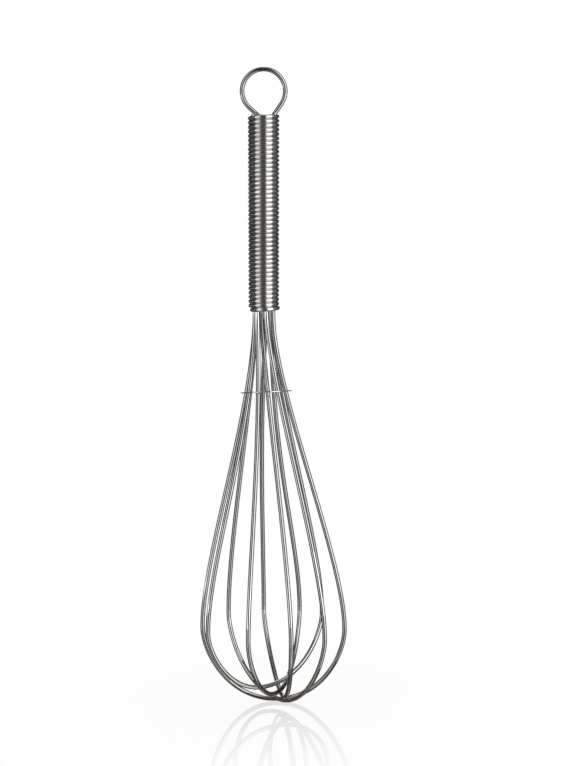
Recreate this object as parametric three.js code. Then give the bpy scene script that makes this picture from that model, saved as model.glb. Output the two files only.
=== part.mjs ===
// Egg whisk of bent wire: five balloon loops, a close-wound handle, a hanging eye and a tie ring.
// Millimetres, +Z up. The handle's axis is Z, and the origin is level with the inside top of the eye.
import * as THREE from "three";

// Wire stock, as diameters.
const BALLOON_WIRE = 1.8;
const HANGER_WIRE = 1.8;
const COIL_WIRE = 1.32;
const RING_WIRE = 0.5;

// Balloon: how far it hangs below the handle, and its fullest width.
const HEAD_LENGTH = 156;
const BELLY_RADIUS = 28.3;
const BELLY_HEIGHT = 32.2;
// The balloon hangs a little to the right of the handle's axis and in front of it.
const HEAD_SHIFT = new THREE.Vector2(3.9, -3.4);
// A leg stands upright at the belly: length of that lead.
const BELLY_LEAD = 27.9;
// Fullness of the round below the belly, as a share of its height.
const BELLY_FALL = 0.325;

// The loops from the lowest to the highest where they cross at the tip, with two values for the two
// legs. Slots number their places in the handle, lead is how far each keeps its line below it, and
// slant how far it leans to the right over that lead. Belly holds azimuths in degrees from +X towards
// +Y, and reach is the fullness of each round towards the tip as a share of its width. Tip is the
// crossing's offset from the balloon's middle.
const LOOPS = [
  {
    name: "balloon_wire_1",
    slots: [5, 11],
    lead: [38.5, 28.5],
    slant: [-0.3, -0.7],
    belly: [184.5, -12.5],
    reach: [0.65, 0.64],
    tip: [0.1, 4.2],
  },
  {
    name: "balloon_wire_2",
    slots: [4, 9],
    lead: [42, 26],
    slant: [-2.9, 0.6],
    belly: [131.5, 313.5],
    reach: [0.67, 0.62],
    tip: [2.1, -2],
  },
  {
    name: "balloon_wire_3",
    slots: [2, 3],
    lead: [50, 10],
    slant: [-3.4, -1.3],
    belly: [99, 283.5],
    reach: [0.39, 0.63],
    tip: [3, -1.6],
  },
  {
    name: "balloon_wire_4",
    slots: [7, 1],
    lead: [52, 61],
    slant: [1.8, 0.3],
    belly: [250, 68.5],
    reach: [0.77, 0.52],
    tip: [2, -3.4],
  },
  {
    name: "balloon_wire_5",
    slots: [6, 0],
    lead: [45.5, 31.5],
    slant: [0, 0],
    belly: [205, 46.5],
    reach: [0.72, 0.61],
    tip: [-3.6, -3.5],
  },
];
const SLOT_COUNT = 12;
const FIRST_SLOT_AZIMUTH = 15;

// Handle: a right-handed coil round the legs, which lie round a core.
const COIL_TURNS = 45.125;
const COIL_TURN_GAP = 0.415;
const COIL_TOP_AZIMUTH = 135;
const COIL_STEPS = 8;
const COIL_SIDES = 5;
const LEG_INSET = 4;
const CORE_INSET = 5;
const HANGER_LEG = 46;

// Hanging eye: how high its middle is over the coil. Each leg leaves the round at an azimuth in the
// eye's plane, runs straight into the coil and bends into its slot there.
const EYE_INNER_RADIUS = 7.4;
const EYE_RISE = 8.35;
const EYE_LEGS = [
  { slot: 8, leave: 228 },
  { slot: 10, leave: -34 },
];
// Lengths that set how soon a leg turns in the coil, and how soon it is upright.
const BEND_LEAD = 1.2;
const UPRIGHT_LEAD = 1.6;

// Tie ring: its place below the handle, and how its rim dips to the left and to the back.
const RING_DROP = 31;
const RING_SIDE_DIP = 2.6;
const RING_BACK_DIP = 6.5;

// Clearances between neighbours.
const LEG_CLEARANCE = 0.1;
const COIL_CLEARANCE = 0.1;
const CORE_CLEARANCE = 0.25;
const CROSSING_CLEARANCE = 0.06;
const BEND_CLEARANCE = 0.4;
const RING_CLEARANCE = 0.3;

// Fineness of the round wires.
const WIRE_SIDES = 8;
const BALLOON_STEPS = 84;
const HANGER_STEPS = 120;
const RING_STEPS = 48;
const RING_SIDES = 6;
const CORE_SIDES = 24;
const HALVINGS = 40;

// Finishes of the steel.
const BRIGHT_WIRE = { color: 0xb4b1ad, roughness: 0.25 };
const COIL_STEEL = { color: 0xa9a6a2, roughness: 0.22 };
const CORE_STEEL = { color: 0x9a9894, roughness: 0.5 };
const RING_STEEL = { color: 0x8f8c88, roughness: 0.35 };

const DOWN = new THREE.Vector3(0, 0, -1);
const radians = THREE.MathUtils.degToRad;

// The legs lie side by side round the handle's axis, spaced for the thicker of their two wires.
const legWire = Math.max(BALLOON_WIRE, HANGER_WIRE);
const slotRadius = (legWire + LEG_CLEARANCE) / (2 * Math.sin(Math.PI / SLOT_COUNT));
const boreRadius = slotRadius + legWire / 2 + COIL_CLEARANCE;
const coreRadius = slotRadius - legWire / 2 - CORE_CLEARANCE;

// The coil's wire has a corner that points outwards, so its inner side is flat.
const coilCorner = (2 * Math.PI) / COIL_SIDES;
const coilWireHeight = COIL_WIRE * Math.sin(coilCorner);
const coilWireInner = (COIL_WIRE / 2) * Math.cos(coilCorner / 2);
const coilPitch = coilWireHeight + COIL_TURN_GAP;
const coilRadius = boreRadius / Math.cos(Math.PI / COIL_STEPS) + coilWireInner;
const coilLength = COIL_TURNS * coilPitch + coilWireHeight;

// Heights along the handle's axis.
const eyeRadius = EYE_INNER_RADIUS + HANGER_WIRE / 2;
const eyeCentreZ = -EYE_INNER_RADIUS;
const coilTopZ = eyeCentreZ - EYE_RISE;
const bendZ = coilTopZ - LEG_INSET + BEND_CLEARANCE;
const mouthZ = coilTopZ - coilLength;
const lowestZ = mouthZ - HEAD_LENGTH;
const bellyZ = lowestZ + BELLY_HEIGHT;

function slotPoint(slot, z) {
  const azimuth = radians(FIRST_SLOT_AZIMUTH + (slot * 360) / SLOT_COUNT);
  return new THREE.Vector3(slotRadius * Math.cos(azimuth), slotRadius * Math.sin(azimuth), z);
}

function roundSection(diameter, sides) {
  const points = Array.from({ length: sides }, (_, i) => {
    const angle = (i * 2 * Math.PI) / sides;
    return new THREE.Vector2(Math.cos(angle), Math.sin(angle)).multiplyScalar(diameter / 2);
  });
  return new THREE.Shape(points);
}

function wireAlong(path, diameter, steps) {
  return new THREE.ExtrudeGeometry(roundSection(diameter, WIRE_SIDES), {
    extrudePath: path,
    steps,
    bevelEnabled: false,
  });
}

function steel(finish) {
  return new THREE.MeshStandardMaterial({ ...finish, metalness: 1 });
}

// Middle line of one leg, from its top end in the handle down to the tip.
function legCurves(loop, leg, belly, tip, towards) {
  const top = slotPoint(loop.slots[leg], coilTopZ - LEG_INSET);
  const mouth = slotPoint(loop.slots[leg], mouthZ);
  const leaving = mouth.clone().addScaledVector(DOWN, loop.lead[leg]);
  leaving.x += loop.slant[leg];
  const span = Math.hypot(belly.x - tip.x, belly.y - tip.y);
  const neck = new THREE.CubicBezierCurve3(
    mouth,
    leaving,
    belly.clone().addScaledVector(DOWN, -BELLY_LEAD),
    belly,
  );
  const round = new THREE.CubicBezierCurve3(
    belly,
    belly.clone().addScaledVector(DOWN, BELLY_FALL * (belly.z - tip.z)),
    tip.clone().addScaledVector(towards, loop.reach[leg] * span),
    tip,
  );
  return [new THREE.LineCurve3(top, mouth), neck, round];
}

function reversed(curve) {
  if (curve.isLineCurve3) return new THREE.LineCurve3(curve.v2, curve.v1);
  return new THREE.CubicBezierCurve3(curve.v3, curve.v2, curve.v1, curve.v0);
}

// The two legs of one loop. Each loop passes over the one before it at the tip.
function loopLegs(loop, level) {
  const [firstBelly, lastBelly] = loop.belly.map((degrees) => {
    const x = HEAD_SHIFT.x + BELLY_RADIUS * Math.cos(radians(degrees));
    const y = HEAD_SHIFT.y + BELLY_RADIUS * Math.sin(radians(degrees));
    return new THREE.Vector3(x, y, bellyZ);
  });
  const tip = new THREE.Vector3(
    HEAD_SHIFT.x + loop.tip[0],
    HEAD_SHIFT.y + loop.tip[1],
    lowestZ + BALLOON_WIRE / 2 + level * (BALLOON_WIRE + CROSSING_CLEARANCE),
  );
  const across = firstBelly.clone().sub(lastBelly).normalize();
  return [
    legCurves(loop, 0, firstBelly, tip, across),
    legCurves(loop, 1, lastBelly, tip, across.clone().negate()),
  ];
}

function balloonWire([firstLeg, lastLeg]) {
  const path = new THREE.CurvePath();
  firstLeg.forEach((curve) => path.add(curve));
  [...lastLeg].reverse().forEach((curve) => path.add(reversed(curve)));
  return wireAlong(path, BALLOON_WIRE, BALLOON_STEPS);
}

// Rings of points of the coil's wire: a straight end, the turns, and a straight end.
function coilRings() {
  const steps = Math.round(COIL_TURNS * COIL_STEPS);
  const firstZ = mouthZ + coilWireHeight / 2;
  const ringAt = (step, ahead) => {
    const azimuth = radians(COIL_TOP_AZIMUTH) + ((step - steps) * 2 * Math.PI) / COIL_STEPS;
    const out = new THREE.Vector3(Math.cos(azimuth), Math.sin(azimuth), 0);
    const along = new THREE.Vector3(-out.y, out.x, 0);
    const centre = out.clone().multiplyScalar(coilRadius).addScaledVector(along, ahead);
    centre.z = firstZ + (step * coilPitch) / COIL_STEPS;
    return Array.from({ length: COIL_SIDES }, (_, i) =>
      centre
        .clone()
        .addScaledVector(out, (COIL_WIRE / 2) * Math.cos(i * coilCorner))
        .addScaledVector(DOWN, (-COIL_WIRE / 2) * Math.sin(i * coilCorner)),
    );
  };
  const turns = Array.from({ length: steps + 1 }, (_, step) => ringAt(step, 0));
  return [ringAt(0, -COIL_WIRE), ...turns, ringAt(steps, COIL_WIRE)];
}

// Joins the rings into one closed tube.
function tubeOfRings(rings) {
  const sides = rings[0].length;
  const index = [];
  for (let r = 0; r + 1 < rings.length; r++) {
    for (let i = 0; i < sides; i++) {
      const a = r * sides + i;
      const b = r * sides + ((i + 1) % sides);
      index.push(a, b + sides, b, a, a + sides, b + sides);
    }
  }
  const last = (rings.length - 1) * sides;
  for (let i = 1; i + 1 < sides; i++) {
    index.push(0, i, i + 1, last, last + i + 1, last + i);
  }
  return new THREE.BufferGeometry().setFromPoints(rings.flat()).setIndex(index);
}

// Least distance between points of the coil's wire that lie more than half a turn apart along it,
// with the edges between the points included at their middles.
function leastTurnGap(rings) {
  const withMiddles = rings.map((ring) =>
    ring.flatMap((p, i) => [p, p.clone().lerp(ring[(i + 1) % ring.length], 0.5)]),
  );
  let least = Infinity;
  for (let r = 0; r < rings.length; r++) {
    for (let other = r + COIL_STEPS / 2 + 1; other < rings.length; other++) {
      for (const p of withMiddles[r]) {
        for (const q of withMiddles[other]) least = Math.min(least, p.distanceTo(q));
      }
    }
  }
  return least;
}

// One leg of the eye, drawn flat as x and height: straight off the round to the level of the coil's
// top, then a bend down to the upright in its slot.
function eyeLeg({ slot, leave }) {
  const angle = radians(leave);
  const side = Math.sign(Math.cos(angle));
  const offRound = new THREE.Vector2(side * Math.sin(angle), -side * Math.cos(angle));
  const start = new THREE.Vector2(eyeRadius * Math.cos(angle), eyeCentreZ + eyeRadius * Math.sin(angle));
  const entry = start.clone().addScaledVector(offRound, (coilTopZ - start.y) / offRound.y);
  const foot = new THREE.Vector2(slotPoint(slot, bendZ).x, bendZ);
  return {
    angle,
    start,
    entry,
    bending: entry.clone().addScaledVector(offRound, BEND_LEAD),
    upright: foot.clone().add(new THREE.Vector2(0, UPRIGHT_LEAD)),
    foot,
    depth: slotPoint(slot, bendZ).y,
  };
}

// The eye is drawn flat, and inside the coil its legs reach forward to their slots.
function hangerPath() {
  const [left, right] = EYE_LEGS.map(eyeLeg);
  const legEndZ = coilTopZ - HANGER_LEG;
  const flat = new THREE.Path().moveTo(left.foot.x, legEndZ).lineTo(left.foot.x, bendZ);
  const bend = (a, b, c) => flat.bezierCurveTo(a.x, a.y, b.x, b.y, c.x, c.y);
  bend(left.upright, left.bending, left.entry);
  flat.lineTo(left.start.x, left.start.y);
  flat.absarc(0, eyeCentreZ, eyeRadius, left.angle, right.angle, true);
  flat.lineTo(right.entry.x, right.entry.y);
  bend(right.bending, right.upright, right.foot);
  flat.lineTo(right.foot.x, legEndZ);
  const points = flat.getSpacedPoints(HANGER_STEPS).map((p, i) => {
    const leg = i < HANGER_STEPS / 2 ? left : right;
    const share = THREE.MathUtils.smoothstep(p.y, bendZ, coilTopZ);
    return new THREE.Vector3(p.x, leg.depth * (1 - share), p.y);
  });
  return new THREE.CatmullRomCurve3(points);
}

// Where a leg's middle line passes a height below the handle, found by halving.
function legAtHeight(neck, z) {
  let [low, high] = [0, 1];
  for (let i = 0; i < HALVINGS; i++) {
    const middle = (low + high) / 2;
    if (neck.getPoint(middle).z > z) low = middle;
    else high = middle;
  }
  return neck.getPoint(low);
}

// The ring goes round all the legs at its height.
function tieRing(necks) {
  const z = mouthZ - RING_DROP;
  const passes = necks.map((neck) => legAtHeight(neck, z));
  const centre = new THREE.Box3().setFromPoints(passes).getCenter(new THREE.Vector3());
  const reach = Math.max(...passes.map((p) => p.distanceTo(centre)));
  const radius = reach + BALLOON_WIRE / 2 + RING_CLEARANCE + RING_WIRE / 2;
  const geometry = new THREE.TorusGeometry(radius, RING_WIRE / 2, RING_SIDES, RING_STEPS);
  const mesh = new THREE.Mesh(geometry, steel(RING_STEEL));
  mesh.position.copy(centre);
  mesh.rotation.set(-radians(RING_BACK_DIP), -radians(RING_SIDE_DIP), 0);
  return mesh;
}

function handleCore() {
  const length = coilLength - 2 * CORE_INSET;
  const geometry = new THREE.CylinderGeometry(coreRadius, coreRadius, length, CORE_SIDES);
  const mesh = new THREE.Mesh(geometry, steel(CORE_STEEL));
  mesh.rotation.x = Math.PI / 2;
  mesh.position.z = (coilTopZ + mouthZ) / 2;
  return mesh;
}

const whisk = new THREE.Group();
function place(name, mesh) {
  mesh.name = name;
  whisk.add(mesh);
}

const legPairs = LOOPS.map(loopLegs);
LOOPS.forEach((loop, level) => {
  place(loop.name, new THREE.Mesh(balloonWire(legPairs[level]), steel(BRIGHT_WIRE)));
});

const rings = coilRings();
console.log("handle_coil least gap to itself: " + leastTurnGap(rings).toFixed(3) + " mm");
place("handle_coil", new THREE.Mesh(tubeOfRings(rings), steel(COIL_STEEL)));
place("handle_core", handleCore());
const hanger = wireAlong(hangerPath(), HANGER_WIRE, HANGER_STEPS);
place("hanging_loop", new THREE.Mesh(hanger, steel(BRIGHT_WIRE)));
place("tie_ring", tieRing(legPairs.flat().map((curves) => curves[1])));

export default whisk;
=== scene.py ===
"""Egg whisk of bent steel wire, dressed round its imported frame.

Lengths are metres and +Z is up. The handle's axis is Z, +X is to the photograph's right and +Y leads
away from its viewer. Every wire is a round section carried along a middle line, worked out as whole
arrays, and stands for the solid of the same name.
"""
import logging
import math
from dataclasses import dataclass
from enum import Enum
from typing import NamedTuple

import bpy
import numpy as np
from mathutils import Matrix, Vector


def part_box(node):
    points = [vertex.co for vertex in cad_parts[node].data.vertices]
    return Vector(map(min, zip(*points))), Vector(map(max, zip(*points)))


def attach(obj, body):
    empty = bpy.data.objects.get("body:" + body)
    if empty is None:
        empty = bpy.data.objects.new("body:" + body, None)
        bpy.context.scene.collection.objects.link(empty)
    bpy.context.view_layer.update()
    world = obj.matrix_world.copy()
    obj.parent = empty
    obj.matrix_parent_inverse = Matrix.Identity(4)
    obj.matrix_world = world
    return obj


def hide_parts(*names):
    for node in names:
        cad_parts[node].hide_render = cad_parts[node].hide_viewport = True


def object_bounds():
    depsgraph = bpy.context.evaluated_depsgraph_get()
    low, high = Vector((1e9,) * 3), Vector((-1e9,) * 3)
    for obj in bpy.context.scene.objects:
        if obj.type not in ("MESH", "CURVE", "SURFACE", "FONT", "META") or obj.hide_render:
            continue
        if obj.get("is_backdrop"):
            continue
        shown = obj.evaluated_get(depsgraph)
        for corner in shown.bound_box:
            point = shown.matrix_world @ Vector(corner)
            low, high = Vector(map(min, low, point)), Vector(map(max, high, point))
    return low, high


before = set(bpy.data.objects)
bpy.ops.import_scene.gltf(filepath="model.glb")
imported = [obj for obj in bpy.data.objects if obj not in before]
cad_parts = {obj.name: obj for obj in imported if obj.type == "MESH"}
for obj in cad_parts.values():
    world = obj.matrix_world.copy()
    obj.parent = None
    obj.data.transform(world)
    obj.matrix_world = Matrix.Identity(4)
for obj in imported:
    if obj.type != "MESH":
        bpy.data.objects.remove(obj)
CAD_BOX = [list(corner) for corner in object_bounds()]

MM = 0.001
BODY = "root"
LAY = "lay"
DOWN = np.array([0.0, 0.0, -1.0])
WHITE = (1.0, 1.0, 1.0, 1.0)
LOG = logging.getLogger("egg_whisk")


class Slot(Enum):
    """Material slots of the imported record."""

    BALLOON = "balloon_steel"
    COIL = "coil_steel"
    CORE = "core_steel"
    HANGER = "hanger_steel"
    RING = "ring_steel"


class Ramp(NamedTuple):
    """A clamped change of range: what runs from low to high comes to run from start to end."""

    low: float
    high: float
    start: float
    end: float


def unit(vectors: np.ndarray) -> np.ndarray:
    """Scales vectors along the last axis to length one."""
    return vectors / np.linalg.norm(vectors, axis=-1, keepdims=True)


def smooth(values: np.ndarray) -> np.ndarray:
    """Smooth step from 0 to 1: 3 t squared minus 2 t cubed, held flat outside."""
    t = np.clip(values, 0.0, 1.0)
    return t * t * (3.0 - 2.0 * t)


def bezier(a: np.ndarray, b: np.ndarray, c: np.ndarray, d: np.ndarray, count: int) -> np.ndarray:
    """Points of a cubic curve: the four points weighted by the terms of ((1 - t) + t) cubed.

    Args:
        a: First end.
        b: Point that the curve leaves towards.
        c: Point that the curve arrives from.
        d: Last end.
        count: Number of points.

    Returns:
        Points from a to d.
    """
    t = np.linspace(0.0, 1.0, count)[:, None]
    s = 1.0 - t
    return s**3 * a + 3.0 * s**2 * t * b + 3.0 * s * t**2 * c + t**3 * d


def evenly(path: np.ndarray, spacing: float) -> np.ndarray:
    """Sets points at even distances along a line of points.

    Args:
        path: Points of the line.
        spacing: Distance wanted between neighbours.

    Returns:
        Points from the line's first to its last.
    """
    steps = np.linalg.norm(np.diff(path, axis=0), axis=1)
    along = np.concatenate([[0.0], np.cumsum(steps)])
    wanted = np.linspace(0.0, along[-1], max(2, round(along[-1] / spacing)))
    return np.stack([np.interp(wanted, along, path[:, axis]) for axis in range(3)], axis=1)


@dataclass(frozen=True)
class WireEnd:
    """How a wire was cut: rings at the end by their distance from it and their size, in wire radii."""

    rings: tuple[float, float, float]
    radii: tuple[float, float, float]


BLUNT = WireEnd((0.0, 0.12, 0.35), (0.62, 0.9, 1.0))
PINCHED = WireEnd((0.0, 0.7, 1.8), (0.3, 0.62, 1.0))


@dataclass
class RoundWire:
    """A round wire carried along a middle line.

    A point of its surface is the middle line's point plus the radius times cos a of the side
    direction plus sin a of the direction square to it and to the line. A pressed wire is taller in
    that second direction.
    """

    path: np.ndarray
    side: np.ndarray
    diameter: float
    sides: int = 20
    closed: bool = False
    end: WireEnd = BLUNT
    tall: float = 1.0

    def stations(self) -> tuple[np.ndarray, np.ndarray]:
        """Middle points and radii of the rings, with those of the cut ends.

        Returns:
            Ring centres and ring radii.
        """
        radius = self.diameter / 2.0
        if self.closed:
            return self.path, np.full(len(self.path), radius)
        reach = (np.array(self.end.rings) * radius)[:, None]
        first = self.path[0] + reach * unit(self.path[1] - self.path[0])
        last = self.path[-1] + reach[::-1] * unit(self.path[-2] - self.path[-1])
        shrink = np.array(self.end.radii) * radius
        centres = np.concatenate([first, self.path[1:-1], last])
        radii = np.concatenate([shrink, np.full(len(self.path) - 2, radius), shrink[::-1]])
        return centres, radii

    def side_directions(self, count: int) -> np.ndarray:
        """One side direction for each ring, the given ones repeated at the ends.

        Args:
            count: Number of rings.

        Returns:
            The directions.
        """
        if self.side.ndim == 1:
            return np.broadcast_to(self.side, (count, 3))
        extra = 0 if self.closed else len(self.end.rings) - 1
        return np.pad(self.side, ((extra, extra), (0, 0)), mode="edge")

    def surface(self) -> tuple[np.ndarray, list[list[int]], np.ndarray]:
        """Points and faces of the wire, and each point's place on it.

        Returns:
            Points, faces, and the lay: cos and sin of the angle round the wire, and the distance along.
        """
        centres, radii = self.stations()
        rows = len(centres)
        if self.closed:
            tangent = unit(np.roll(centres, -1, axis=0) - np.roll(centres, 1, axis=0))
        else:
            tangent = unit(np.gradient(centres, axis=0))
        given = self.side_directions(rows)
        normal = unit(given - np.sum(given * tangent, axis=1, keepdims=True) * tangent)
        square = np.cross(tangent, normal)
        angle = np.linspace(0.0, 2.0 * np.pi, self.sides, endpoint=False)
        cos, sin = np.cos(angle)[None, :, None], np.sin(angle)[None, :, None]
        out = cos * normal[:, None] + self.tall * sin * square[:, None]
        points = (centres[:, None] + radii[:, None, None] * out).reshape(-1, 3)
        steps = np.linalg.norm(np.diff(centres, axis=0), axis=1)
        along = np.concatenate([[0.0], np.cumsum(steps)])
        round_it = np.stack([np.cos(angle), np.sin(angle)], axis=1)
        lay = np.concatenate([np.tile(round_it, (rows, 1)), np.repeat(along, self.sides)[:, None]], axis=1)
        return self.closed_up(points, lay, centres, along)

    def closed_up(
        self, points: np.ndarray, lay: np.ndarray, centres: np.ndarray, along: np.ndarray
    ) -> tuple[np.ndarray, list[list[int]], np.ndarray]:
        """Faces between the rings, and a fan over each end of an open wire.

        Args:
            points: Points of the rings, ring by ring.
            lay: Their places on the wire.
            centres: Ring centres.
            along: Distances of the rings along the wire.

        Returns:
            All points, all faces and all places.
        """
        rows = len(centres)
        column = np.arange(self.sides)
        after = (column + 1) % self.sides
        row = np.arange(rows if self.closed else rows - 1)[:, None]
        base = row * self.sides
        above = ((row + 1) % rows) * self.sides
        quads = np.stack([base + column, base + after, above + after, above + column], axis=-1)
        faces = quads.reshape(-1, 4).tolist()
        if self.closed:
            return points, faces, lay
        first, last = len(points), len(points) + 1
        end = (rows - 1) * self.sides
        faces += np.stack([np.full(self.sides, first), after, column], axis=-1).tolist()
        faces += np.stack([np.full(self.sides, last), end + column, end + after], axis=-1).tolist()
        points = np.concatenate([points, centres[[0, -1]]])
        lay = np.concatenate([lay, [[0.0, 0.0, along[0]], [0.0, 0.0, along[-1]]]])
        return points, faces, lay


def make_piece(
    name: str, node: str, wire: RoundWire, finish: bpy.types.Material
) -> bpy.types.Object:
    """Puts a wire into the scene in place of a solid of the frame.

    Args:
        name: The piece's name.
        node: The solid that it stands for.
        wire: Its shape.
        finish: Its material.

    Returns:
        The new object.
    """
    points, faces, lay = wire.surface()
    mesh = bpy.data.meshes.new(name)
    mesh.from_pydata(points.tolist(), [], faces)
    mesh.polygons.foreach_set("use_smooth", np.ones(len(mesh.polygons), dtype=bool))
    place = mesh.attributes.new(LAY, "FLOAT_VECTOR", "POINT")
    place.data.foreach_set("vector", lay.astype(np.float32).ravel())
    mesh.materials.append(finish)
    mesh.update()
    piece = bpy.data.objects.new(name, mesh)
    bpy.context.scene.collection.objects.link(piece)
    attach(piece, BODY)
    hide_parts(node)
    LOG.info("%s stands for %s: %d points, %d faces", name, node, len(points), len(faces))
    return piece


class Nodes:
    """Adds nodes to a shader tree and links them by the names of their sockets."""

    def __init__(self, tree: bpy.types.NodeTree) -> None:
        """Keeps the tree and empties it."""
        self.tree = tree
        tree.nodes.clear()

    def add(
        self, kind: str, sockets: dict[str | int, object] | None = None, **settings: object
    ) -> bpy.types.Node:
        """Adds one node.

        Args:
            kind: Blender's name of the node type.
            sockets: Input values by name or number, where an output socket is linked instead.
            settings: Properties of the node.

        Returns:
            The node.
        """
        node = self.tree.nodes.new(kind)
        for key, value in settings.items():
            setattr(node, key, value)
        for key, value in (sockets or {}).items():
            if isinstance(value, bpy.types.NodeSocket):
                self.tree.links.new(value, node.inputs[key])
            else:
                node.inputs[key].default_value = value
        return node

    def math(self, operation: str, a: object, b: object = 0.0) -> bpy.types.NodeSocket:
        """Adds one operation on one or two values and returns its result."""
        return self.add("ShaderNodeMath", {0: a, 1: b}, operation=operation).outputs[0]

    def span(self, value: object, ramp: Ramp) -> bpy.types.NodeSocket:
        """Adds a clamped change of range and returns its result."""
        ends = dict(zip(("From Min", "From Max", "To Min", "To Max"), ramp))
        return self.add("ShaderNodeMapRange", {"Value": value, **ends}).outputs["Result"]

    def mix(self, share: object, first: object, last: object) -> bpy.types.NodeSocket:
        """Mixes two colours.

        Args:
            share: Share of the last colour.
            first: A colour as three values, or a socket.
            last: The other colour.

        Returns:
            The mixed colour's socket.
        """
        given = [(*colour, 1.0) if isinstance(colour, tuple) else colour for colour in (first, last)]
        sockets = {"Factor": share, "A": given[0], "B": given[1]}
        return self.add("ShaderNodeMix", sockets, data_type="RGBA").outputs["Result"]


LINE_CONTRAST = Ramp(0.3, 0.7, 0.0, 1.0)
SMEAR_CONTRAST = Ramp(0.42, 0.72, 0.0, 1.0)


def drawing_lines() -> bpy.types.NodeTree:
    """Node group of the lines that a die draws along a wire.

    A noise in the lay is stretched far along the wire and repeats closely round it, so it reads as
    lines. The lines meet behind the wire because the lay holds the angle as its cos and sin.

    Returns:
        A group with inputs Lines and Stretch, and outputs Fine and Broad.
    """
    tree = bpy.data.node_groups.new("drawing_lines", "ShaderNodeTree")
    nodes = Nodes(tree)
    for name in ("Lines", "Stretch"):
        tree.interface.new_socket(name, in_out="INPUT", socket_type="NodeSocketFloat")
    for name in ("Fine", "Broad"):
        tree.interface.new_socket(name, in_out="OUTPUT", socket_type="NodeSocketFloat")
    given = nodes.add("NodeGroupInput").outputs
    lay = nodes.add("ShaderNodeAttribute", attribute_name=LAY).outputs["Vector"]
    scale = nodes.add("ShaderNodeCombineXYZ", {0: given["Lines"], 1: given["Lines"], 2: given["Stretch"]})
    stretched = nodes.add("ShaderNodeVectorMath", {0: lay, 1: scale.outputs[0]}, operation="MULTIPLY")
    where = stretched.outputs[0]
    fine = nodes.add("ShaderNodeTexNoise", {"Vector": where, "Scale": 1.0, "Detail": 2.0, "Roughness": 0.6})
    broad = nodes.add("ShaderNodeTexNoise", {"Vector": where, "Scale": 0.3, "Detail": 1.0})
    fine_lines = nodes.span(fine.outputs["Fac"], LINE_CONTRAST)
    broad_lines = nodes.span(broad.outputs["Fac"], LINE_CONTRAST)
    nodes.add("NodeGroupOutput", {"Fine": fine_lines, "Broad": broad_lines})
    return tree


def handling_marks() -> bpy.types.NodeTree:
    """Node group of the faint smears that washing and handling leave, a noise in object coordinates.

    Returns:
        A group with input Size, the marks' size in metres, and output Mask.
    """
    tree = bpy.data.node_groups.new("handling_marks", "ShaderNodeTree")
    nodes = Nodes(tree)
    tree.interface.new_socket("Size", in_out="INPUT", socket_type="NodeSocketFloat")
    tree.interface.new_socket("Mask", in_out="OUTPUT", socket_type="NodeSocketFloat")
    size = nodes.add("NodeGroupInput").outputs["Size"]
    where = nodes.add("ShaderNodeTexCoord").outputs["Object"]
    scale = nodes.math("DIVIDE", 1.0, size)
    noise = nodes.add("ShaderNodeTexNoise", {"Vector": where, "Scale": scale, "Detail": 3.0})
    mask = nodes.span(noise.outputs["Fac"], SMEAR_CONTRAST)
    nodes.add("NodeGroupOutput", {"Mask": mask})
    return tree


@dataclass(frozen=True)
class DrawnSteel:
    """Steel wire as it comes from the die. Its copies differ in brightness as painted light: the coil's and
    the ring's are lighter and the eye's darker than the balloon's, for the light that falls on each.

    Bright and dull are the colours of its lines. Lines is how closely they lie round the wire, stretch
    how often they change along it, and line_depth how deep they are. Smear is what handling adds to
    the roughness.
    """

    name: str
    bright: tuple[float, float, float]
    dull: tuple[float, float, float]
    roughness: float
    smear: float
    lines: float
    stretch: float
    line_depth: float
    mark_size: float = 9.0 * MM

    def material(self, lines: bpy.types.NodeTree, marks: bpy.types.NodeTree) -> bpy.types.Material:
        """Makes the material.

        Args:
            lines: The group of drawing lines.
            marks: The group of handling marks.

        Returns:
            The material.
        """
        material = bpy.data.materials.new(self.name)
        material.use_nodes = True
        nodes = Nodes(material.node_tree)
        drawn = nodes.add("ShaderNodeGroup", node_tree=lines)
        drawn.inputs["Lines"].default_value = self.lines
        drawn.inputs["Stretch"].default_value = self.stretch
        marked = nodes.add("ShaderNodeGroup", node_tree=marks)
        marked.inputs["Size"].default_value = self.mark_size
        shade = nodes.mix(drawn.outputs["Broad"], self.dull, self.bright)
        smeared = Ramp(0.0, 1.0, self.roughness, self.roughness + self.smear)
        roughness = nodes.span(marked.outputs["Mask"], smeared)
        bump = nodes.add(
            "ShaderNodeBump",
            {"Height": drawn.outputs["Fine"], "Distance": self.line_depth, "Strength": 1.0},
        )
        steel = nodes.add(
            "ShaderNodeBsdfPrincipled",
            {
                "Base Color": shade,
                "Metallic": 1.0,
                "Roughness": roughness,
                "Normal": bump.outputs["Normal"],
            },
        )
        nodes.add("ShaderNodeOutputMaterial", {"Surface": steel.outputs[0]})
        return material


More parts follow.
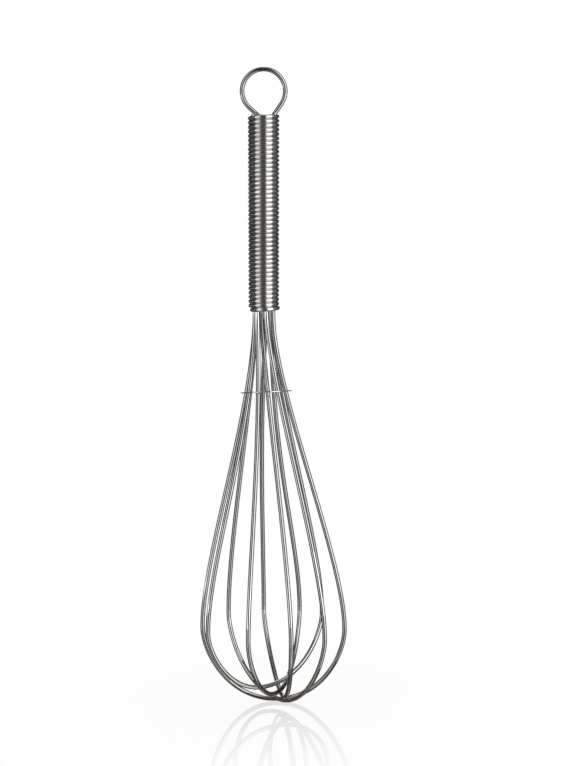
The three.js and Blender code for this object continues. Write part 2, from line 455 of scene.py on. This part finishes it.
@dataclass(frozen=True)
class Workshop:
    """The finishes, made once and shared."""

    balloon: bpy.types.Material
    coil: bpy.types.Material
    core: bpy.types.Material
    hanger: bpy.types.Material
    ring: bpy.types.Material

    @classmethod
    def opened(cls) -> "Workshop":
        """Makes every finish.

        Returns:
            The workshop with its materials.
        """
        lines, marks = drawing_lines(), handling_marks()
        balloon = DrawnSteel(
            Slot.BALLOON.value, bright=(0.68, 0.675, 0.675), dull=(0.5, 0.495, 0.495),
            roughness=0.03, smear=0.03, lines=4.0, stretch=9.0, line_depth=0.001 * MM,
        )
        # Painted highlight: the coil's steel is set lighter than the balloon's.
        coil = DrawnSteel(
            Slot.COIL.value, bright=(0.86, 0.845, 0.83), dull=(0.66, 0.645, 0.63),
            roughness=0.15, smear=0.05, lines=3.0, stretch=9.0, line_depth=0.002 * MM,
        )
        core = DrawnSteel(
            Slot.CORE.value, bright=(0.6, 0.6, 0.58), dull=(0.42, 0.42, 0.4),
            roughness=0.35, smear=0.1, lines=8.0, stretch=20.0, line_depth=0.01 * MM,
        )
        # Painted shade: the eye's steel is set darker than the balloon's.
        hanger = DrawnSteel(
            Slot.HANGER.value, bright=(0.6, 0.595, 0.59), dull=(0.4, 0.395, 0.39),
            roughness=0.03, smear=0.03, lines=4.0, stretch=9.0, line_depth=0.001 * MM,
        )
        # Painted highlight: the ring's steel is set near white.
        ring = DrawnSteel(
            Slot.RING.value, bright=(0.95, 0.945, 0.94), dull=(0.85, 0.845, 0.84),
            roughness=0.1, smear=0.05, lines=2.0, stretch=9.0, line_depth=0.0005 * MM,
        )
        return cls(*(finish.material(lines, marks) for finish in (balloon, coil, core, hanger, ring)))


@dataclass(frozen=True)
class HandleBore:
    """How the legs of the wires lie side by side inside the coil."""

    slots: int = 12
    first_azimuth: float = 15.0
    radius: float = 3.671 * MM

    def point(self, slot: int, height: float) -> np.ndarray:
        """Middle of a leg's place at a height."""
        azimuth = math.radians(self.first_azimuth + slot * 360.0 / self.slots)
        return np.array([self.radius * math.cos(azimuth), self.radius * math.sin(azimuth), height])


@dataclass(frozen=True)
class Loop:
    """One balloon loop, with two values for its two legs.

    The slots are the legs' places in the handle, lead is how far each keeps its line below it and slant
    how far it leans to the right over that lead, in millimetres. Belly holds azimuths, reach is the
    fullness of each round towards the tip, and tip is the crossing's offset from the balloon's middle
    in millimetres.
    """

    node: str
    slots: tuple[int, int]
    lead: tuple[float, float]
    slant: tuple[float, float]
    belly: tuple[float, float]
    reach: tuple[float, float]
    tip: tuple[float, float]


@dataclass
class Balloon:
    """The five loops that make the head of the whisk, listed from the lowest at the tip."""

    bore: HandleBore
    wire: float = 1.8 * MM
    belly_radius: float = 28.3 * MM
    belly_height: float = 32.2 * MM
    shift: tuple[float, float] = (3.9 * MM, -3.4 * MM)
    belly_lead: float = 27.9 * MM
    belly_fall: float = 0.325
    crossing_clearance: float = 0.06 * MM
    leg_inset: float = 4.0 * MM
    spacing: float = 0.9 * MM
    curve_points: int = 240

    LOOPS = (
        Loop("balloon_wire_1", (5, 11), (38.5, 28.5), (-0.3, -0.7), (184.5, -12.5), (0.65, 0.64), (0.1, 4.2)),
        Loop("balloon_wire_2", (4, 9), (42.0, 26.0), (-2.9, 0.6), (131.5, 313.5), (0.67, 0.62), (2.1, -2.0)),
        Loop("balloon_wire_3", (2, 3), (50.0, 10.0), (-3.4, -1.3), (99.0, 283.5), (0.39, 0.63), (3.0, -1.6)),
        Loop("balloon_wire_4", (7, 1), (52.0, 61.0), (1.8, 0.3), (250.0, 68.5), (0.77, 0.52), (2.0, -3.4)),
        Loop("balloon_wire_5", (6, 0), (45.5, 31.5), (0.0, 0.0), (205.0, 46.5), (0.72, 0.61), (-3.6, -3.5)),
    )

    def __post_init__(self) -> None:
        """Takes the heights from the frame."""
        coil_low, coil_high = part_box("handle_coil")
        self.coil_top = coil_high.z
        self.mouth = coil_low.z
        self.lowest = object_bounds()[0].z

    def belly_point(self, azimuth: float) -> np.ndarray:
        """Where a leg is widest: a point of a level circle.

        Args:
            azimuth: Its direction from the balloon's middle.

        Returns:
            The point.
        """
        x = self.shift[0] + self.belly_radius * math.cos(math.radians(azimuth))
        y = self.shift[1] + self.belly_radius * math.sin(math.radians(azimuth))
        return np.array([x, y, self.lowest + self.belly_height])

    def leg(
        self, loop: Loop, number: int, belly: np.ndarray, tip: np.ndarray, towards: np.ndarray
    ) -> np.ndarray:
        """Middle line of one leg: straight in the handle, a neck curve to the belly, a round to the tip.

        Args:
            loop: The loop that it belongs to.
            number: Which of the loop's two legs it is.
            belly: Its widest point.
            tip: The loop's crossing point.
            towards: Direction at the tip, towards this leg.

        Returns:
            Points from the leg's top end to the tip.
        """
        top = self.bore.point(loop.slots[number], self.coil_top - self.leg_inset)
        mouth = self.bore.point(loop.slots[number], self.mouth)
        reach = loop.reach[number] * math.hypot(*(belly - tip)[:2])
        fall = self.belly_fall * (belly[2] - tip[2])
        count = self.curve_points
        leaving = mouth + np.array([loop.slant[number], 0.0, -loop.lead[number]]) * MM
        neck = bezier(mouth, leaving, belly - DOWN * self.belly_lead, belly, count)
        below = bezier(belly, belly + DOWN * fall, tip + towards * reach, tip, count)
        return np.concatenate([[top], neck, below[1:]])

    def middle_line(self, loop: Loop, level: int) -> tuple[np.ndarray, np.ndarray]:
        """Middle line of a loop, and the direction square to its plane.

        Args:
            loop: The loop.
            level: How many loops lie under it at the tip.

        Returns:
            Points from one top end to the other, and a level direction across the loop.
        """
        first, last = (self.belly_point(azimuth) for azimuth in loop.belly)
        height = self.lowest + self.wire / 2.0 + level * (self.wire + self.crossing_clearance)
        tip = np.array([self.shift[0] + loop.tip[0] * MM, self.shift[1] + loop.tip[1] * MM, height])
        towards = unit(first - last)
        down = self.leg(loop, 0, first, tip, towards)
        up = self.leg(loop, 1, last, tip, -towards)[::-1]
        path = evenly(np.concatenate([down, up[1:]]), self.spacing)
        return path, np.cross(towards, DOWN)

    def build(self, shop: Workshop) -> None:
        """Makes the five loops.

        Args:
            shop: The finishes.
        """
        for level, loop in enumerate(self.LOOPS):
            path, side = self.middle_line(loop, level)
            wire = RoundWire(path, side, self.wire)
            make_piece(f"{loop.node}_drawn", loop.node, wire, shop.balloon)


@dataclass
class Handle:
    """The close-wound coil of the grip, and the rod inside it."""

    wire: float = 1.5 * MM
    tall: float = 1.1
    turn_radius: float = 5.34 * MM
    taper: float = 0.1 * MM
    aside: float = -0.07 * MM
    end_rise: float = 0.628 * MM
    turns: float = 45.125
    top_azimuth: float = 135.0
    steps: int = 40
    sides: int = 16
    flare: float = 0.65 * MM
    flare_turns: float = 1.4
    core_sides: int = 40
    core_spacing: float = 4.0 * MM

    def coil_line(self) -> tuple[np.ndarray, np.ndarray]:
        """Middle line of the coil: a right-handed helix with a straight end of one wire at each end.

        The turns grow a little narrower downwards. The lowest shift to the right, where the winding was
        let go.

        Returns:
            Points from the lower end to the upper, and the outward direction at each.
        """
        low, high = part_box("handle_coil")
        turn = np.linspace(0.0, self.turns, round(self.turns * self.steps) + 1)
        azimuth = np.radians(self.top_azimuth) + (turn - self.turns) * 2.0 * np.pi
        level = np.linspace(low.z + self.end_rise, high.z - self.end_rise, len(turn))
        out = np.stack([np.cos(azimuth), np.sin(azimuth), np.zeros_like(turn)], axis=1)
        onward = np.stack([-out[:, 1], out[:, 0], out[:, 2]], axis=1)
        path = (self.turn_radius - self.taper * (1.0 - turn / self.turns))[:, None] * out
        path[:, 0] += self.aside + self.flare * smooth(1.0 - turn / self.flare_turns)
        path[:, 2] = level
        path = np.concatenate([[path[0] - self.wire * onward[0]], path, [path[-1] + self.wire * onward[-1]]])
        return path, np.concatenate([out[:1], out, out[-1:]])

    def core_line(self) -> tuple[np.ndarray, float]:
        """Middle line of the rod, from the solid that it stands for.

        Returns:
            Points from its lower end to its upper, and its diameter.
        """
        low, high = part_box("handle_core")
        ends = np.array([[0.0, 0.0, low.z], [0.0, 0.0, high.z]])
        return evenly(ends, self.core_spacing), high.x - low.x

    def build(self, shop: Workshop) -> None:
        """Makes the coil and the rod.

        Args:
            shop: The finishes.
        """
        path, out = self.coil_line()
        coil = RoundWire(path, out, self.wire, self.sides, end=PINCHED, tall=self.tall)
        make_piece("handle_coil_wound", "handle_coil", coil, shop.coil)
        line, diameter = self.core_line()
        core = RoundWire(line, np.array([1.0, 0.0, 0.0]), diameter, self.core_sides)
        make_piece("handle_core_rod", "handle_core", core, shop.core)


@dataclass(frozen=True)
class EyeLeg:
    """One leg of the hanging eye: its place in the coil, and the azimuth where it leaves the round."""

    slot: int
    leave: float


@dataclass
class HangingEye:
    """The wire eye at the top, whose two legs run down inside the coil."""

    bore: HandleBore
    wire: float = 1.8 * MM
    inner_radius: float = 7.4 * MM
    leg: float = 46.0 * MM
    bend_depth: float = 3.6 * MM
    bend_lead: float = 1.2 * MM
    upright_lead: float = 1.6 * MM
    spacing: float = 0.35 * MM
    arc_points: int = 400
    bend_points: int = 60

    LEFT = EyeLeg(8, 228.0)
    RIGHT = EyeLeg(10, -34.0)

    def __post_init__(self) -> None:
        """Takes the heights from the frame: the eye's inside top is at the origin's height."""
        self.coil_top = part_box("handle_coil")[1].z
        self.radius = self.inner_radius + self.wire / 2.0
        self.centre = np.array([0.0, -self.inner_radius])

    def on_round(self, angle: np.ndarray) -> np.ndarray:
        """Points of the eye's round at angles in its plane, as x and height."""
        return self.centre + self.radius * np.stack([np.cos(angle), np.sin(angle)], axis=-1)

    def leg_line(self, leg: EyeLeg) -> np.ndarray:
        """Middle line of one leg: straight off the round into the coil, then upright in its slot.

        Args:
            leg: The leg.

        Returns:
            Points from the round to the leg's lower end.
        """
        angle = math.radians(leg.leave)
        side = math.copysign(1.0, math.cos(angle))
        off = side * np.array([math.sin(angle), -math.cos(angle)])
        start = self.on_round(np.array(angle))
        entry = start + off * (self.coil_top - start[1]) / off[1]
        x, y, z = self.bore.point(leg.slot, self.coil_top - self.bend_depth)
        foot, up = np.array([x, z]), np.array([0.0, self.upright_lead])
        bend = bezier(entry, entry + self.bend_lead * off, foot + up, foot, self.bend_points)
        flat = np.concatenate([[start], bend, [[x, self.coil_top - self.leg]]])
        flat = evenly(np.column_stack([flat, np.zeros(len(flat))]), self.spacing)[:, :2]
        depth = y * (1.0 - smooth((flat[:, 1] - z) / self.bend_depth))
        return np.stack([flat[:, 0], depth, flat[:, 1]], axis=1)

    def middle_line(self) -> np.ndarray:
        """Middle line of the eye.

        Returns:
            Points from the left leg's lower end over the round to the right leg's.
        """
        sweep = np.radians(np.linspace(self.LEFT.leave, self.RIGHT.leave, self.arc_points))
        flat = self.on_round(sweep)
        over = np.stack([flat[:, 0], np.zeros(self.arc_points), flat[:, 1]], axis=1)
        left, right = self.leg_line(self.LEFT), self.leg_line(self.RIGHT)
        return evenly(np.concatenate([left[::-1], over[1:-1], right]), self.spacing)

    def build(self, shop: Workshop) -> None:
        """Makes the eye."""
        wire = RoundWire(self.middle_line(), np.array([0.0, 1.0, 0.0]), self.wire)
        make_piece("hanging_loop_drawn", "hanging_loop", wire, shop.hanger)


@dataclass
class TieRing:
    """The thin wire ring round the legs, which lies a little askew."""

    wire: float = 0.5 * MM
    side_dip: float = 2.6
    back_dip: float = 6.5
    steps: int = 180
    sides: int = 12

    def build(self, shop: Workshop) -> None:
        """Makes the ring: a circle tilted about X and Y, round the middle of the solid's box.

        Args:
            shop: The finishes.
        """
        low, high = (np.array(corner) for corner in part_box("tie_ring"))
        radius = (high[0] - low[0]) / 2.0 / math.cos(math.radians(self.side_dip)) - self.wire / 2.0
        angle = np.linspace(0.0, 2.0 * np.pi, self.steps, endpoint=False)
        out = np.stack([np.cos(angle), np.sin(angle), np.zeros_like(angle)], axis=1)
        out = out @ self.tilt().T
        wire = RoundWire((low + high) / 2.0 + radius * out, out, self.wire, self.sides, closed=True)
        make_piece("tie_ring_drawn", "tie_ring", wire, shop.ring)

    def tilt(self) -> np.ndarray:
        """Turn about Y by the side dip, then about X by the back dip.

        Returns:
            The turn as a three by three matrix.
        """
        a, b = -math.radians(self.back_dip), -math.radians(self.side_dip)
        about_x = np.array([[1, 0, 0], [0, math.cos(a), -math.sin(a)], [0, math.sin(a), math.cos(a)]])
        about_y = np.array([[math.cos(b), 0, math.sin(b)], [0, 1, 0], [-math.sin(b), 0, math.cos(b)]])
        return about_x @ about_y


@dataclass(frozen=True)
class SoftBox:
    """A lamp's place round the object as angles from its middle, 0 azimuth being towards the viewer."""

    name: str
    azimuth: float
    elevation: float
    width: float
    height: float
    radiance: float
    distance: float = 0.9


@dataclass
class Studio:
    """Camera, floor, lamps and the cards that only reflections see.

    The ramps of the floor and the board run over distances from the point that the tip touches. Those
    of the tent run over shares of its radius: to the right, to the back and upwards.
    """

    camera_aside: float = 7.02 * MM
    camera_distance: float = 603.04 * MM
    camera_height: float = 194.91 * MM
    camera_pitch: float = 6.3
    focal_pixels: float = 1550.0
    image_height: float = 766.0
    sensor: float = 36.0
    nearest_seen: float = 10.0 * MM
    fill: float = 0.5
    contact: tuple[float, float] = (4.1 * MM, 1.0 * MM)
    floor_reach: float = 6.0
    floor_tilt: float = 2.3
    floor_gloss: float = 0.02
    floor_matt: Ramp = Ramp(0.03, 0.12, 0.08, 0.0)
    floor_mirror: Ramp = Ramp(0.0, 0.08, 0.26, 0.07)
    floor_fade: Ramp = Ramp(0.14, 0.32, 1.0, 0.0)
    tent_radius: float = 2.5
    tent_columns: int = 73
    tent_rows: int = 19
    window: float = 16.0
    tent_sides: Ramp = Ramp(0.3, 1.0, 0.06, 0.25)
    tent_back: Ramp = Ramp(0.05, 0.65, 1.0, 0.1)
    tent_top: Ramp = Ramp(0.75, 0.95, 0.0, 0.2)
    board_radius: float = 2.45
    board_sides: int = 64
    board_lift: float = 0.3 * MM
    board_gloss: float = 0.08
    board_glow: float = 0.04
    board_warmth: Ramp = Ramp(0.02, 0.07, 0.0, 1.0)
    board_reach: Ramp = Ramp(0.04, 0.12, 0.0, 1.0)

    FLOOR_MATT = (0.9, 0.9, 0.9, 1.0)
    # Painted reflection: the warm tint that the low loops' undersides show near the foot.
    BOARD_FOOT = (0.6, 0.53, 0.455)
    BOARD_NEAR = (0.52, 0.52, 0.52)
    BOARD_FAR = (0.62, 0.62, 0.62)

    SOFT_BOXES = (
        SoftBox("softbox_left_high", -48.0, 32.0, 35.0, 46.0, 0.8),
        SoftBox("softbox_left_low", -48.0, -3.0, 35.0, 24.0, 1.15),
        SoftBox("softbox_right_high", 46.0, 32.0, 45.0, 46.0, 1.45),
        SoftBox("softbox_right_low", 46.0, -3.0, 45.0, 24.0, 2.0),
    )

    def __post_init__(self) -> None:
        """Takes the floor's height from the frame."""
        self.floor = CAD_BOX[0][2]
        self.middle = (CAD_BOX[0][2] + CAD_BOX[1][2]) / 2.0

    def build(self) -> None:
        """Sets up everything round the object."""
        self.set_camera()
        self.set_world()
        self.lay_floor()
        self.hang_tent()
        self.lay_board()
        for box in self.SOFT_BOXES:
            self.hang_lamp(box)

    def set_camera(self) -> None:
        """Puts the camera at the photograph's viewpoint."""
        data = bpy.data.cameras.new("camera")
        data.sensor_fit = "VERTICAL"
        data.sensor_height = self.sensor
        data.lens = self.focal_pixels / self.image_height * self.sensor
        data.clip_start = self.nearest_seen
        camera = bpy.data.objects.new("camera", data)
        camera.location = (self.camera_aside, -self.camera_distance, self.floor + self.camera_height)
        camera.rotation_euler = (math.radians(90.0 - self.camera_pitch), 0.0, 0.0)
        bpy.context.scene.collection.objects.link(camera)
        bpy.context.scene.camera = camera

    def set_world(self) -> None:
        """White to the eye and in reflections, and a soft fill for the rest."""
        world = bpy.data.worlds.new("studio_air")
        world.use_nodes = True
        nodes = Nodes(world.node_tree)
        seen = self.seen_directly(nodes)
        fill = nodes.add("ShaderNodeBackground", {"Color": WHITE, "Strength": self.fill})
        white = nodes.add("ShaderNodeBackground", {"Color": WHITE, "Strength": 1.0})
        both = nodes.add("ShaderNodeMixShader", {0: seen, 1: fill.outputs[0], 2: white.outputs[0]})
        nodes.add("ShaderNodeOutputWorld", {"Surface": both.outputs[0]})
        bpy.context.scene.world = world

    @staticmethod
    def seen_directly(nodes: Nodes) -> bpy.types.NodeSocket:
        """One for rays from the camera, from gloss and through glass, else zero.

        Args:
            nodes: The tree that needs it.

        Returns:
            The value's socket.
        """
        path = nodes.add("ShaderNodeLightPath").outputs
        mirrored = nodes.math("MAXIMUM", path["Is Camera Ray"], path["Is Glossy Ray"])
        return nodes.math("MAXIMUM", mirrored, path["Is Transmission Ray"])

    @staticmethod
    def stage_mesh(
        name: str, points: np.ndarray, faces: np.ndarray, material: bpy.types.Material
    ) -> bpy.types.Object:
        """Puts a stage piece into the scene.

        Args:
            name: Its name.
            points: Its points.
            faces: Its faces.
            material: Its material.

        Returns:
            The new object.
        """
        mesh = bpy.data.meshes.new(name)
        mesh.from_pydata(points.tolist(), [], faces.tolist())
        mesh.materials.append(material)
        mesh.update()
        piece = bpy.data.objects.new(name, mesh)
        bpy.context.scene.collection.objects.link(piece)
        piece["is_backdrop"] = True
        return piece

    @staticmethod
    def only_reflected(piece: bpy.types.Object) -> None:
        """Hides a card from everything but reflections.

        Args:
            piece: The card.
        """
        piece.visible_camera = False
        piece.visible_diffuse = False
        piece.visible_transmission = False
        piece.visible_shadow = False

    def lay_floor(self) -> None:
        """White floor that keeps the object's shadow and mirrors the balloon, less and less away from it."""
        material = bpy.data.materials.new("floor")
        material.use_nodes = True
        nodes = Nodes(material.node_tree)
        seen = self.seen_directly(nodes)
        glow = nodes.add("ShaderNodeEmission", {"Color": WHITE, "Strength": seen})
        matt = nodes.add("ShaderNodeBsdfDiffuse", {"Color": self.FLOOR_MATT})
        away = self.away_from_contact(nodes)
        shaded = nodes.span(away, self.floor_matt)
        white = nodes.add("ShaderNodeMixShader", {0: shaded, 1: glow.outputs[0], 2: matt.outputs[0]})
        mirror = nodes.add("ShaderNodeBsdfGlossy", {"Color": WHITE, "Roughness": self.floor_gloss})
        share = nodes.math("MULTIPLY", nodes.span(away, self.floor_mirror), nodes.span(away, self.floor_fade))
        both = nodes.add("ShaderNodeMixShader", {0: share, 1: white.outputs[0], 2: mirror.outputs[0]})
        nodes.add("ShaderNodeOutputMaterial", {"Surface": both.outputs[0]})
        r = self.floor_reach
        corners = np.array([[-r, -r], [r, -r], [r, r], [-r, r]])
        points = np.column_stack([corners, self.floor_level(corners[:, 0])])
        self.stage_mesh("floor", points, np.array([[0, 1, 2, 3]]), material)

    def floor_level(self, x: np.ndarray) -> np.ndarray:
        """Heights of the floor, which rises a little to the right of the point that the tip touches."""
        return self.floor + math.tan(math.radians(self.floor_tilt)) * (x - self.contact[0])

    def away_from_contact(self, nodes: Nodes) -> bpy.types.NodeSocket:
        """Level distance from the point that the tip touches: the root of the sum of two squares.

        Args:
            nodes: The tree that needs it.

        Returns:
            The distance's socket.
        """
        where = nodes.add("ShaderNodeTexCoord").outputs["Object"]
        shifted = nodes.add("ShaderNodeVectorMath", {0: where, 1: (*self.contact, 0.0)}, operation="SUBTRACT")
        split = nodes.add("ShaderNodeSeparateXYZ", {0: shifted.outputs[0]}).outputs
        squares = (nodes.math("POWER", split[axis], 2.0) for axis in ("X", "Y"))
        return nodes.math("SQRT", nodes.math("ADD", *squares))

    def hang_tent(self) -> None:
        """Dark tent round the object, open behind it: a part of a sphere in azimuth and height.

        It is lighter at its right side and overhead than straight ahead, and darkest behind the object.
        """
        material = bpy.data.materials.new("tent")
        material.use_nodes = True
        nodes = Nodes(material.node_tree)
        where = nodes.add("ShaderNodeTexCoord").outputs["Object"]
        split = nodes.add("ShaderNodeSeparateXYZ", {0: where}).outputs
        aside = nodes.math("DIVIDE", split["X"], self.tent_radius)
        behind = nodes.math("DIVIDE", split["Y"], self.tent_radius)
        above = nodes.math("DIVIDE", nodes.math("SUBTRACT", split["Z"], self.floor), self.tent_radius)
        wall = nodes.math("MULTIPLY", nodes.span(aside, self.tent_sides), nodes.span(behind, self.tent_back))
        shade = nodes.math("MAXIMUM", wall, nodes.span(above, self.tent_top))
        glow = nodes.add("ShaderNodeEmission", {"Color": WHITE, "Strength": shade})
        nodes.add("ShaderNodeOutputMaterial", {"Surface": glow.outputs[0]})
        columns, rows = self.tent_columns, self.tent_rows
        edge = math.radians(90.0 - self.window)
        azimuth = np.linspace(-math.pi * 1.5 + math.radians(self.window), edge, columns)[None, :]
        height = np.linspace(0.0, math.pi / 2.0, rows)[:, None]
        x = self.tent_radius * np.cos(height) * np.cos(azimuth)
        y = self.tent_radius * np.cos(height) * np.sin(azimuth)
        z = self.floor + self.tent_radius * np.sin(height) + 0.0 * azimuth
        points = np.stack([x, y, z], axis=-1).reshape(-1, 3)
        row, column = np.arange(rows - 1)[:, None] * columns, np.arange(columns - 1)[None, :]
        first = row + column
        faces = np.stack([first, first + columns, first + columns + 1, first + 1], axis=-1).reshape(-1, 4)
        self.only_reflected(self.stage_mesh("tent", points, faces, material))

    def lay_board(self) -> None:
        """Glossy board under the object that only reflections see, a disc that is clear from below.

        It mirrors the lamps and the tent and glows faintly. Its warm tint close to the object's foot is a
        painted reflection that the undersides of the low loops show.
        """
        material = bpy.data.materials.new("board")
        material.use_nodes = True
        nodes = Nodes(material.node_tree)
        away = self.away_from_contact(nodes)
        near = nodes.mix(nodes.span(away, self.board_warmth), self.BOARD_FOOT, self.BOARD_NEAR)
        tint = nodes.mix(nodes.span(away, self.board_reach), near, self.BOARD_FAR)
        glow = nodes.add("ShaderNodeEmission", {"Color": tint, "Strength": self.board_glow})
        mirror = nodes.add("ShaderNodeBsdfGlossy", {"Color": tint, "Roughness": self.board_gloss})
        top = nodes.add("ShaderNodeAddShader", {0: glow.outputs[0], 1: mirror.outputs[0]})
        clear = nodes.add("ShaderNodeBsdfTransparent")
        under = nodes.add("ShaderNodeNewGeometry").outputs["Backfacing"]
        both = nodes.add("ShaderNodeMixShader", {0: under, 1: top.outputs[0], 2: clear.outputs[0]})
        nodes.add("ShaderNodeOutputMaterial", {"Surface": both.outputs[0]})
        angle = np.linspace(0.0, 2.0 * np.pi, self.board_sides, endpoint=False)
        x, y = self.board_radius * np.cos(angle), self.board_radius * np.sin(angle)
        points = np.stack([x, y, self.floor_level(x) + self.board_lift], axis=1)
        self.only_reflected(self.stage_mesh("board", points, np.arange(self.board_sides)[None, :], material))

    def hang_lamp(self, box: SoftBox) -> None:
        """Hangs a soft box that faces the middle of the object.

        Args:
            box: Its place, size and brightness.
        """
        width = 2.0 * box.distance * math.tan(math.radians(box.width / 2.0))
        height = 2.0 * box.distance * math.tan(math.radians(box.height / 2.0))
        data = bpy.data.lights.new(box.name, "AREA")
        data.shape = "RECTANGLE"
        data.size = width
        data.size_y = height
        data.energy = box.radiance * math.pi * width * height
        lamp = bpy.data.objects.new(box.name, data)
        aside, up = math.radians(box.azimuth), math.radians(box.elevation)
        lamp.location = (
            box.distance * math.cos(up) * math.sin(aside),
            -box.distance * math.cos(up) * math.cos(aside),
            self.middle + box.distance * math.sin(up),
        )
        lamp.rotation_euler = (math.pi / 2.0 - up, 0.0, aside)
        lamp.visible_camera = False
        bpy.context.scene.collection.objects.link(lamp)


def main() -> None:
    """Builds the studio and then the whisk, piece by piece."""
    logging.basicConfig(level=logging.INFO, format="%(name)s: %(message)s")
    bpy.context.scene.view_settings.view_transform = "Standard"
    Studio().build()
    shop = Workshop.opened()
    bore = HandleBore()
    Balloon(bore).build(shop)
    Handle().build(shop)
    HangingEye(bore).build(shop)
    TieRing().build(shop)


if __name__ == "__main__":
    main()
